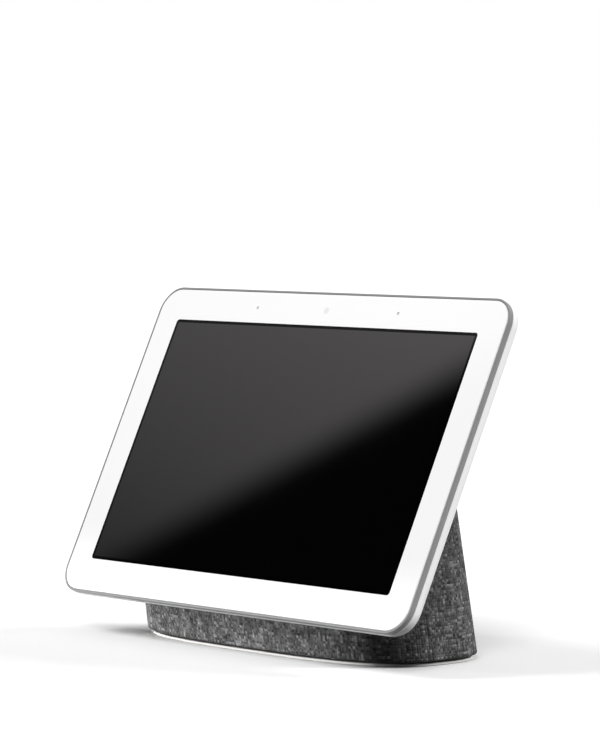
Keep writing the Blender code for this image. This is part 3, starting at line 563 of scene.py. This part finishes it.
def build_rear_shell():
    """White shell with a rolled edge, cut for the controls, the main board and four screws."""
    outer = fillet((ROLL_FRONT, 0.0), (SHELL_BACK, ROLL_INSET), 20)
    inner = fillet((ROLL_FRONT, SHELL_WALL), (SHELL_BACK - SHELL_WALL, ROLL_INSET), 12)
    path = outer[::-1] + [(SHELL_FRONT + SHELL_EDGE, 0.0), (SHELL_FRONT, SHELL_EDGE)]
    path += [(SHELL_FRONT, SHELL_WALL)] + inner
    rings = [panel_ring(SHELL_BACK, ROLL_INSET + 0.5 * MM)]
    rings += [panel_ring(depth, inset) for depth, inset in path]
    shell = add_piece("rear_housing", loft(rings), "shell_white")

    rocker = panel_xy(JOINTS["volume_rock"]["pos_m"])
    floor = -SHELL_BACK + SHELL_WALL + 1.0 * MM
    knob_low, knob_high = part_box("mute_slider")
    mute_y = panel_xy((knob_low + knob_high) / 2)[1]
    mute_slot_l = KNOB_L + MUTE_TRAVEL + 0.6 * MM
    tools = [
        flared_slot(ROCKER_W + 2 * SLOT_GAP, ROCKER_L + 2 * SLOT_GAP, 1.4 * MM, rocker,
                    -shell_depth(PANEL_W / 2 - rocker[0]), floor),
        flared_slot(mute_slot_l, KNOB_W + SLOT_GAP, 1.6 * MM, (0.0, mute_y),
                    -SHELL_BACK, floor),
    ]
    opening = rounded_rectangle(*BOARD_OPENING, 6)
    board_y = panel_xy(sum(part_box("main_board"), Vector()) / 2)[1]
    tools.append(loft([ring(opening, z, (0.0, board_y)) for z in OPENING_CUT]))
    for number in range(1, 5):
        xy = panel_xy(sum(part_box("chassis_screw_%d" % number), Vector()) / 2)
        tools.append(loft([ring(circle(SCREW_HOLE_R, 16), z, xy) for z in OPENING_CUT]))
    cut(shell, tools)
    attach(shell, "body")
    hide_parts("rear_shell")


def pill(length_x, length_y, depths, dome, radius, steps=8):
    """Rounded button standing from its root's depth to its face's depth, softly domed."""
    base, top = -depths[0], -depths[1]
    rings = [ring(rounded_rectangle(length_x, length_y, radius, steps), base)]
    half = min(length_x, length_y) / 2
    for i in range(9):
        angle = math.pi / 2 * i / 8
        inset = (half - 0.3 * MM) * (1 - math.cos(angle)) ** 1.4
        z = top + dome * (1 - math.sin(angle))
        outline = rounded_rectangle(length_x - 2 * inset, length_y - 2 * inset,
                                    max(radius - inset, 0.25 * MM), steps)
        rings.append(ring(outline, z))
    return loft(rings)


def build_rocker():
    """Volume rocker with a raised pip at its louder end."""
    x, y = panel_xy(JOINTS["volume_rock"]["pos_m"])
    place = PANEL @ Matrix.Translation((x, y, 0.0))
    cap = pill(ROCKER_W, ROCKER_L, ROCKER_DEPTHS, 0.9 * MM, 1.2 * MM)
    rocker = add_piece("volume_button", cap, "control_white", place)
    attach(rocker, "rocker")
    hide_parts("volume_rocker")
    pip_rings = [ring(circle(radius * MM, 20), -depth * MM, (0.0, PIP_Y))
                 for radius, depth in PIP]
    pip = add_piece("volume_up_pip", loft(pip_rings), "control_white", place)
    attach(pip, "rocker")


def build_mute_knob():
    """Knob of the microphone switch, with three grip ridges."""
    low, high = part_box("mute_slider")
    x, y = panel_xy((low + high) / 2)
    place = PANEL @ Matrix.Translation((x, y, 0.0))
    cap = pill(KNOB_L, KNOB_W, KNOB_DEPTHS, 0.7 * MM, 1.4 * MM)
    knob = add_piece("mic_switch_knob", cap, "control_white", place)
    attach(knob, "mute_slide")
    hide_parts("mute_slider")
    for i in (-1, 0, 1):
        ridge_rings = []
        for depth, grow in RIDGE:
            outline = rounded_rectangle((RIDGE_W + 2 * grow) * MM, (RIDGE_L + 2 * grow) * MM,
                                        (0.22 + grow) * MM, 6)
            ridge_rings.append(ring(outline, -depth * MM, (i * RIDGE_PITCH * MM, 0.0)))
        name = "mic_switch_ridge_%d" % (i + 2)
        ridge = add_piece(name, loft(ridge_rings), "control_white", place)
        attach(ridge, "mute_slide")


# ---------------------------------------------------------------- base pieces

def column_point(angle, z, inset):
    """Points of the base column's section; angle, z and inset may be arrays."""
    front = -BASE_HALF_D + FRONT_SLOPE * z
    back = BASE_HALF_D + BACK_SLOPE * z
    half_d = (back - front) / 2 - inset
    c, s = np.cos(angle), np.sin(angle)
    reach = (np.abs(c) ** BASE_POWER + np.abs(s) ** BASE_POWER) ** (-1 / BASE_POWER)
    x = (BASE_HALF_W - inset) * c * reach
    y = (front + back) / 2 + half_d * s * reach
    return np.stack(np.broadcast_arrays(x, y, z), axis=-1)


def even_angles(count):
    """Angles that space points evenly round the column's section."""
    fine = np.linspace(0, 2 * math.pi, 20001)
    points = column_point(fine, 0.0, 0.0)[:, :2]
    steps = np.linalg.norm(np.diff(points, axis=0), axis=1)
    travel = np.concatenate([[0.0], np.cumsum(steps)])
    wanted = np.arange(count) / count * travel[-1]
    return np.interp(wanted, travel, fine), travel[-1]


def trim_heights(angles, inset=0.0):
    """Height at which each column line meets the panel's rolled back, less the gap."""
    out = np.array(PANEL_OUT)
    up = np.array(PANEL_UP)
    centre = np.array(PANEL_CENTRE)
    heights = np.arange(5 * MM, COLUMN_TOP, 0.05 * MM)
    tops = []
    for angle in angles:
        points = column_point(angle, heights, inset) - centre
        depth = -(points @ out)
        inset_y = PANEL_H / 2 - np.abs(points @ up)
        hit = (inset_y > 0) & (depth < shell_depth(inset_y) + TRIM_GAP)
        tops.append(heights[np.argmax(hit)])
    return np.array(tops)


def weave_relief(u, v):
    """Plain weave in yarn units: floats stand proud along the yarn that is on top."""
    over = (np.floor(u) + np.floor(v)) % 2
    du = u - np.floor(u) - 0.5
    dv = v - np.floor(v) - 0.5
    warp = np.cos(math.pi * du) * (0.55 + 0.45 * np.cos(math.pi * dv))
    weft = np.cos(math.pi * dv) * (0.55 + 0.45 * np.cos(math.pi * du))
    return np.where(over > 0.5, warp, weft)


def build_sleeve():
    """Woven sleeve: a fine outer face with the weave in relief, a plain inner face."""
    angles, girth = even_angles(8)
    yarns = 2 * round(girth / YARN / 2)
    angles = even_angles(yarns * WEAVE_STEPS)[0]
    count = len(angles)
    tops = trim_heights(angles)
    row_step = YARN / WEAVE_STEPS
    rolled = HEM_R * math.pi / 2
    columns = []
    uvs = []
    bm = bmesh.new()
    uv_layer = bm.loops.layers.uv.new("weave")
    for i, angle in enumerate(angles):
        length = rolled + tops[i] - (FABRIC_Z + HEM_R)
        rows = max(int(round(length / row_step)), 3)
        travel = np.append(np.arange(rows) * row_step, length)
        if travel[-1] - travel[-2] < 0.3 * row_step:
            travel = np.delete(travel, -2)
        bend = np.clip(travel / HEM_R, 0, math.pi / 2)
        z = np.where(travel < rolled, FABRIC_Z + HEM_R * (1 - np.cos(bend)),
                     FABRIC_Z + HEM_R + travel - rolled)
        inset = HEM_R * (1 - np.sin(bend)) * 0.9
        u = np.full(len(travel), i / WEAVE_STEPS)
        v = travel / YARN
        relief = WEAVE_HEIGHT * (weave_relief(u + 0.01, v) - 0.5)
        points = column_point(angle, z, inset - relief)
        column = [bm.verts.new(p) for p in points]
        columns.append(column)
        uvs.append(np.stack([u, v], axis=-1))
    inner_low = [bm.verts.new(p) for p in column_point(angles, FABRIC_Z + 0.9 * MM, 1.7 * MM)]
    inner_mid = [bm.verts.new(p) for p in column_point(angles, FABRIC_Z + 2.0 * MM, FABRIC_T)]
    inner_top = [bm.verts.new(p) for p in column_point(angles, tops, FABRIC_T)]

    def face(corners, coords):
        made = bm.faces.new(corners)
        for loop, uv in zip(made.loops, coords):
            loop[uv_layer].uv = uv

    for i in range(count):
        j = (i + 1) % count
        a, b = columns[i], columns[j]
        ua = uvs[i]
        ub = uvs[j] if j else uvs[j] + np.array([yarns, 0.0])
        last = min(len(a), len(b)) - 2
        for k in range(last):
            face((a[k], b[k], b[k + 1], a[k + 1]), (ua[k], ub[k], ub[k + 1], ua[k + 1]))
        # Neighbouring columns end at different heights: a fan from the lower one's top
        left_taller = len(a) > len(b)
        tall, tall_uv = (a, ua) if left_taller else (b, ub)
        apex, apex_uv = (b[-1], ub[-1]) if left_taller else (a[-1], ua[-1])
        face((a[last], b[last], apex), (ua[last], ub[last], apex_uv))
        for k in range(last, len(tall) - 1):
            below, above = (tall[k], tall_uv[k]), (tall[k + 1], tall_uv[k + 1])
            if left_taller:
                face((below[0], apex, above[0]), (below[1], apex_uv, above[1]))
            else:
                face((apex, below[0], above[0]), (apex_uv, below[1], above[1]))
        flat = (ua[0], ub[0], ub[0], ua[0])
        face((inner_low[i], inner_low[j], b[0], a[0]), flat)
        face((inner_mid[i], inner_mid[j], inner_low[j], inner_low[i]), flat)
        face((inner_top[i], inner_top[j], inner_mid[j], inner_mid[i]), flat)
        face((a[-1], b[-1], inner_top[j], inner_top[i]), flat)
    bmesh.ops.recalc_face_normals(bm, faces=bm.faces)
    sleeve = add_piece("fabric_sleeve", bm, "melange_weave",
                       Matrix.Identity(4), sharp=60)
    low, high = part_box("jack_grommet")
    centre = (low + high) / 2
    hole = loft([[(x + centre.x, y, z + centre.z) for x, z in circle(INLET_HOLE_R, 40)]
                 for y in (centre.y - 6 * MM, centre.y + 6 * MM)])
    cut(sleeve, [hole])
    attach(sleeve, "body")
    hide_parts("fabric_cover")


def build_foot():
    """Pale rubber foot: the base stands on its outer ring, its middle sits slightly higher."""
    angles = even_angles(240)[0]
    edge = 0.28 * MM
    thick = foot_high.z - foot_low.z
    path = [(0.35 * MM, 6.0 * MM), (0.35 * MM, 4.6 * MM), (0.0, 4.2 * MM)]
    path += [(0.0, FOOT_INSET + edge + 0.3 * MM)]
    path += [(edge * (1 - math.sin(a)), FOOT_INSET + edge * (1 - math.cos(a)))
             for a in np.linspace(math.pi / 2, 0, 5)]
    path += [(thick - edge * (1 - math.sin(a)), FOOT_INSET + edge * (1 - math.cos(a)))
             for a in np.linspace(0, math.pi / 2, 5)]
    path += [(thick, FOOT_INSET + edge + 0.3 * MM)]
    rings = [list(map(tuple, column_point(angles, z, inset))) for z, inset in path]
    foot = add_piece("foot_ring", loft(rings), "silicone_pale",
                     Matrix.Identity(4))
    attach(foot, "body")
    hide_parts("foot_pad")


def build_power_inlet():
    """Black collar round the power inlet, rounded at its mouth."""
    low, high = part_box("jack_grommet")
    length = high.y - low.y
    edge = COLLAR_EDGE
    profile = [(COLLAR_BORE_R, 0.0), (COLLAR_R, 0.0)]
    profile += [(COLLAR_R - edge * (1 - math.cos(a)), length - edge * (1 - math.sin(a)))
                for a in np.linspace(0, math.pi / 2, 5)]
    profile += [(COLLAR_BORE_R + edge * (1 - math.cos(a)), length - edge * (1 - math.sin(a)))
                for a in np.linspace(math.pi / 2, 0, 5)]
    place = Matrix.Translation(((low.x + high.x) / 2, low.y, (low.z + high.z) / 2))
    place = place @ Matrix.Rotation(math.radians(-90), 4, "X")
    inlet = add_piece("power_inlet_collar", revolve(profile), "plastic_black",
                      place)
    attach(inlet, "body")
    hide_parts("jack_grommet")


# ---------------------------------------------------------------- stage, light and camera

CAMERA_AIM = Vector((-3.8 * MM, -0.65 * MM, 90.7 * MM))
CAMERA_AZIMUTH = math.radians(49.51)        # to the viewer's right of straight on
CAMERA_ELEVATION = math.radians(2.99)
CAMERA_DISTANCE = 1265.1 * MM
CAMERA_LENS = 180.86                        # millimetres on a 36 mm sensor's long side


def add_camera():
    data = bpy.data.cameras.new("camera")
    data.lens = CAMERA_LENS
    data.sensor_width = 36.0
    data.clip_start = 0.05
    camera = bpy.data.objects.new("camera", data)
    away = Vector((math.sin(CAMERA_AZIMUTH) * math.cos(CAMERA_ELEVATION),
                   -math.cos(CAMERA_AZIMUTH) * math.cos(CAMERA_ELEVATION),
                   math.sin(CAMERA_ELEVATION)))
    camera.location = CAMERA_AIM + away * CAMERA_DISTANCE
    camera.rotation_euler = away.to_track_quat("Z", "Y").to_euler()
    bpy.context.scene.collection.objects.link(camera)
    bpy.context.scene.camera = camera


# Name, brightness it gives a white surface facing it, where it comes from, softness in degrees
SUNS = (
    ("key", 0.66, (-0.45, -0.50, 0.74), 30),
    ("front_fill", 0.50, (0.52, -0.62, 0.588), 20),
    ("back_fill", 0.80, (0.58, 0.643, 0.50), 20),
)
STRIP_ENERGY = 0.031                # watts
STRIP_PLACE, STRIP_AIM = Vector((-0.92, -0.52, 0.022)), Vector((-0.04, -0.03, 0.005))
STRIP_SIZE = (0.15, 0.02)
STRIP_SPREAD = 2.75
AMBIENT = (0.02, 0.45)              # from the viewer's side, from the far side
AMBIENT_FROM = Vector((-0.10, 0.75, 0.66))
AMBIENT_EDGE = (-0.2, 0.5)          # how far round from there it starts, is full
BOUNCE_ALBEDO = 0.05                # floor as other surfaces see it in diffuse light
FLOOR_ALBEDO = 0.83                 # floor as the camera and reflections see it


def add_light(kind, name, toward, energy):
    """Light whose beam comes from the given direction."""
    data = bpy.data.lights.new(name, kind)
    data.energy = energy
    light = bpy.data.objects.new(name, data)
    light.rotation_euler = Vector(toward).to_track_quat("Z", "Y").to_euler()
    light.visible_glossy = False
    bpy.context.scene.collection.objects.link(light)
    return light


def add_lights():
    """Suns for the studio's soft boxes, and a low strip light that grazes the base's front."""
    for name, strength, toward, spread in SUNS:
        sun = add_light("SUN", name, toward, strength * math.pi)
        sun.data.angle = math.radians(spread)
    strip = add_light("AREA", "low_strip", STRIP_PLACE - STRIP_AIM, STRIP_ENERGY)
    strip.data.shape = "RECTANGLE"
    strip.data.size, strip.data.size_y = STRIP_SIZE
    strip.data.spread = math.radians(STRIP_SPREAD)
    strip.location = STRIP_PLACE
    strip.visible_camera = False


# What the glass mirrors: a soft-edged bright card, brighter towards its top
MIRROR_NORMAL = Vector((-0.358, 0.880, 0.313))
MIRROR_SOFTNESS = 0.007
MIRROR_LOW = (0.406, 0.40)          # height of the direction, brightness there
MIRROR_HIGH = (0.500, 1.34)
# Well above and well below the card the studio's walls show faintly
WALL_MIDDLE = 0.44                  # height of the direction halfway up the card
WALL_REACH = (0.14, 0.60)           # distance from that height where they start, are brightest
WALL_GLOW = 0.60


def add_world():
    """White backdrop, soft ambient light, and the card that only reflections see."""
    world = bpy.data.worlds.new("studio")
    world.use_nodes = True
    bpy.context.scene.world = world
    tree = world.node_tree
    background = tree.nodes["Background"]
    background.inputs["Color"].default_value = (1.0, 1.0, 1.0, 1.0)

    def node(kind, **inputs):
        made = tree.nodes.new(kind)
        for key, value in inputs.items():
            made.inputs[key.replace("_", " ")].default_value = value
        return made

    coords = node("ShaderNodeTexCoord")
    across = node("ShaderNodeVectorMath")
    across.operation = "DOT_PRODUCT"
    across.inputs[1].default_value = MIRROR_NORMAL
    tree.links.new(coords.outputs["Generated"], across.inputs[0])
    edge = node("ShaderNodeMapRange", From_Min=-MIRROR_SOFTNESS, From_Max=MIRROR_SOFTNESS)
    edge.interpolation_type = "SMOOTHERSTEP"
    tree.links.new(across.outputs["Value"], edge.inputs["Value"])
    split = node("ShaderNodeSeparateXYZ")
    tree.links.new(coords.outputs["Generated"], split.inputs[0])
    rise = node("ShaderNodeMapRange", From_Min=MIRROR_LOW[0], From_Max=MIRROR_HIGH[0],
                To_Min=MIRROR_LOW[1], To_Max=MIRROR_HIGH[1])
    tree.links.new(split.outputs["Z"], rise.inputs["Value"])
    card = node("ShaderNodeMath")
    card.operation = "MULTIPLY"
    tree.links.new(edge.outputs["Result"], card.inputs[0])
    tree.links.new(rise.outputs["Result"], card.inputs[1])

    apart = node("ShaderNodeMath")
    apart.operation = "SUBTRACT"
    apart.inputs[1].default_value = WALL_MIDDLE
    tree.links.new(split.outputs["Z"], apart.inputs[0])
    distance = node("ShaderNodeMath")
    distance.operation = "ABSOLUTE"
    tree.links.new(apart.outputs["Value"], distance.inputs[0])
    wall = node("ShaderNodeMapRange", From_Min=WALL_REACH[0], From_Max=WALL_REACH[1],
                To_Min=0.0, To_Max=WALL_GLOW)
    tree.links.new(distance.outputs["Value"], wall.inputs["Value"])
    mirrored = node("ShaderNodeMath")
    mirrored.operation = "MAXIMUM"
    tree.links.new(card.outputs["Value"], mirrored.inputs[0])
    tree.links.new(wall.outputs["Result"], mirrored.inputs[1])

    path = node("ShaderNodeLightPath")
    seen = node("ShaderNodeMix")
    seen.inputs["B"].default_value = 1.0
    side = node("ShaderNodeVectorMath")
    side.operation = "DOT_PRODUCT"
    side.inputs[1].default_value = AMBIENT_FROM
    tree.links.new(coords.outputs["Generated"], side.inputs[0])
    ambient = node("ShaderNodeMapRange", From_Min=AMBIENT_EDGE[0], From_Max=AMBIENT_EDGE[1],
                   To_Min=AMBIENT[0], To_Max=AMBIENT[1])
    tree.links.new(side.outputs["Value"], ambient.inputs["Value"])
    tree.links.new(ambient.outputs["Result"], seen.inputs["A"])
    tree.links.new(path.outputs["Is Camera Ray"], seen.inputs["Factor"])
    strength = node("ShaderNodeMix")
    tree.links.new(path.outputs["Is Glossy Ray"], strength.inputs["Factor"])
    tree.links.new(seen.outputs["Result"], strength.inputs["A"])
    tree.links.new(mirrored.outputs["Value"], strength.inputs["B"])
    tree.links.new(strength.outputs["Result"], background.inputs["Strength"])


def add_stage():
    """Plain pale floor out to the horizon; it throws only part of its light back up."""
    half = 12.0
    bm = bmesh.new()
    corners = ((-half, -half), (half, -half), (half, half), (-half, half))
    bm.faces.new([bm.verts.new((x, y, -0.05 * MM)) for x, y in corners])
    floor = Nodes("floor_pale", 0.9)
    path = floor.add("ShaderNodeLightPath")
    tones = [(0.4, grey(FLOOR_ALBEDO)), (0.6, grey(0.99 * FLOOR_ALBEDO))]
    grain = floor.ramp(floor.noise(3.0), tones)
    mix = floor.add("ShaderNodeMix", data_type="RGBA")
    seen = floor.math("MAXIMUM", path.outputs["Is Camera Ray"], path.outputs["Is Glossy Ray"])
    floor.link(seen, mix.inputs["Factor"])
    mix.inputs["A"].default_value = (*grey(BOUNCE_ALBEDO), 1.0)
    floor.link(grain, mix.inputs["B"])
    floor.colour(mix.outputs["Result"])
    floor.shader.inputs["Specular IOR Level"].default_value = 0.0
    stage = add_piece("floor", bm, "floor_pale", Matrix.Identity(4))


make_materials()
dress_cad_nodes()
build_glass()
build_rim()
build_rear_shell()
build_rocker()
build_mute_knob()
build_sleeve()
build_foot()
build_power_inlet()
add_camera()
add_world()
add_stage()
add_lights()
bpy.context.scene.view_settings.view_transform = "Standard"
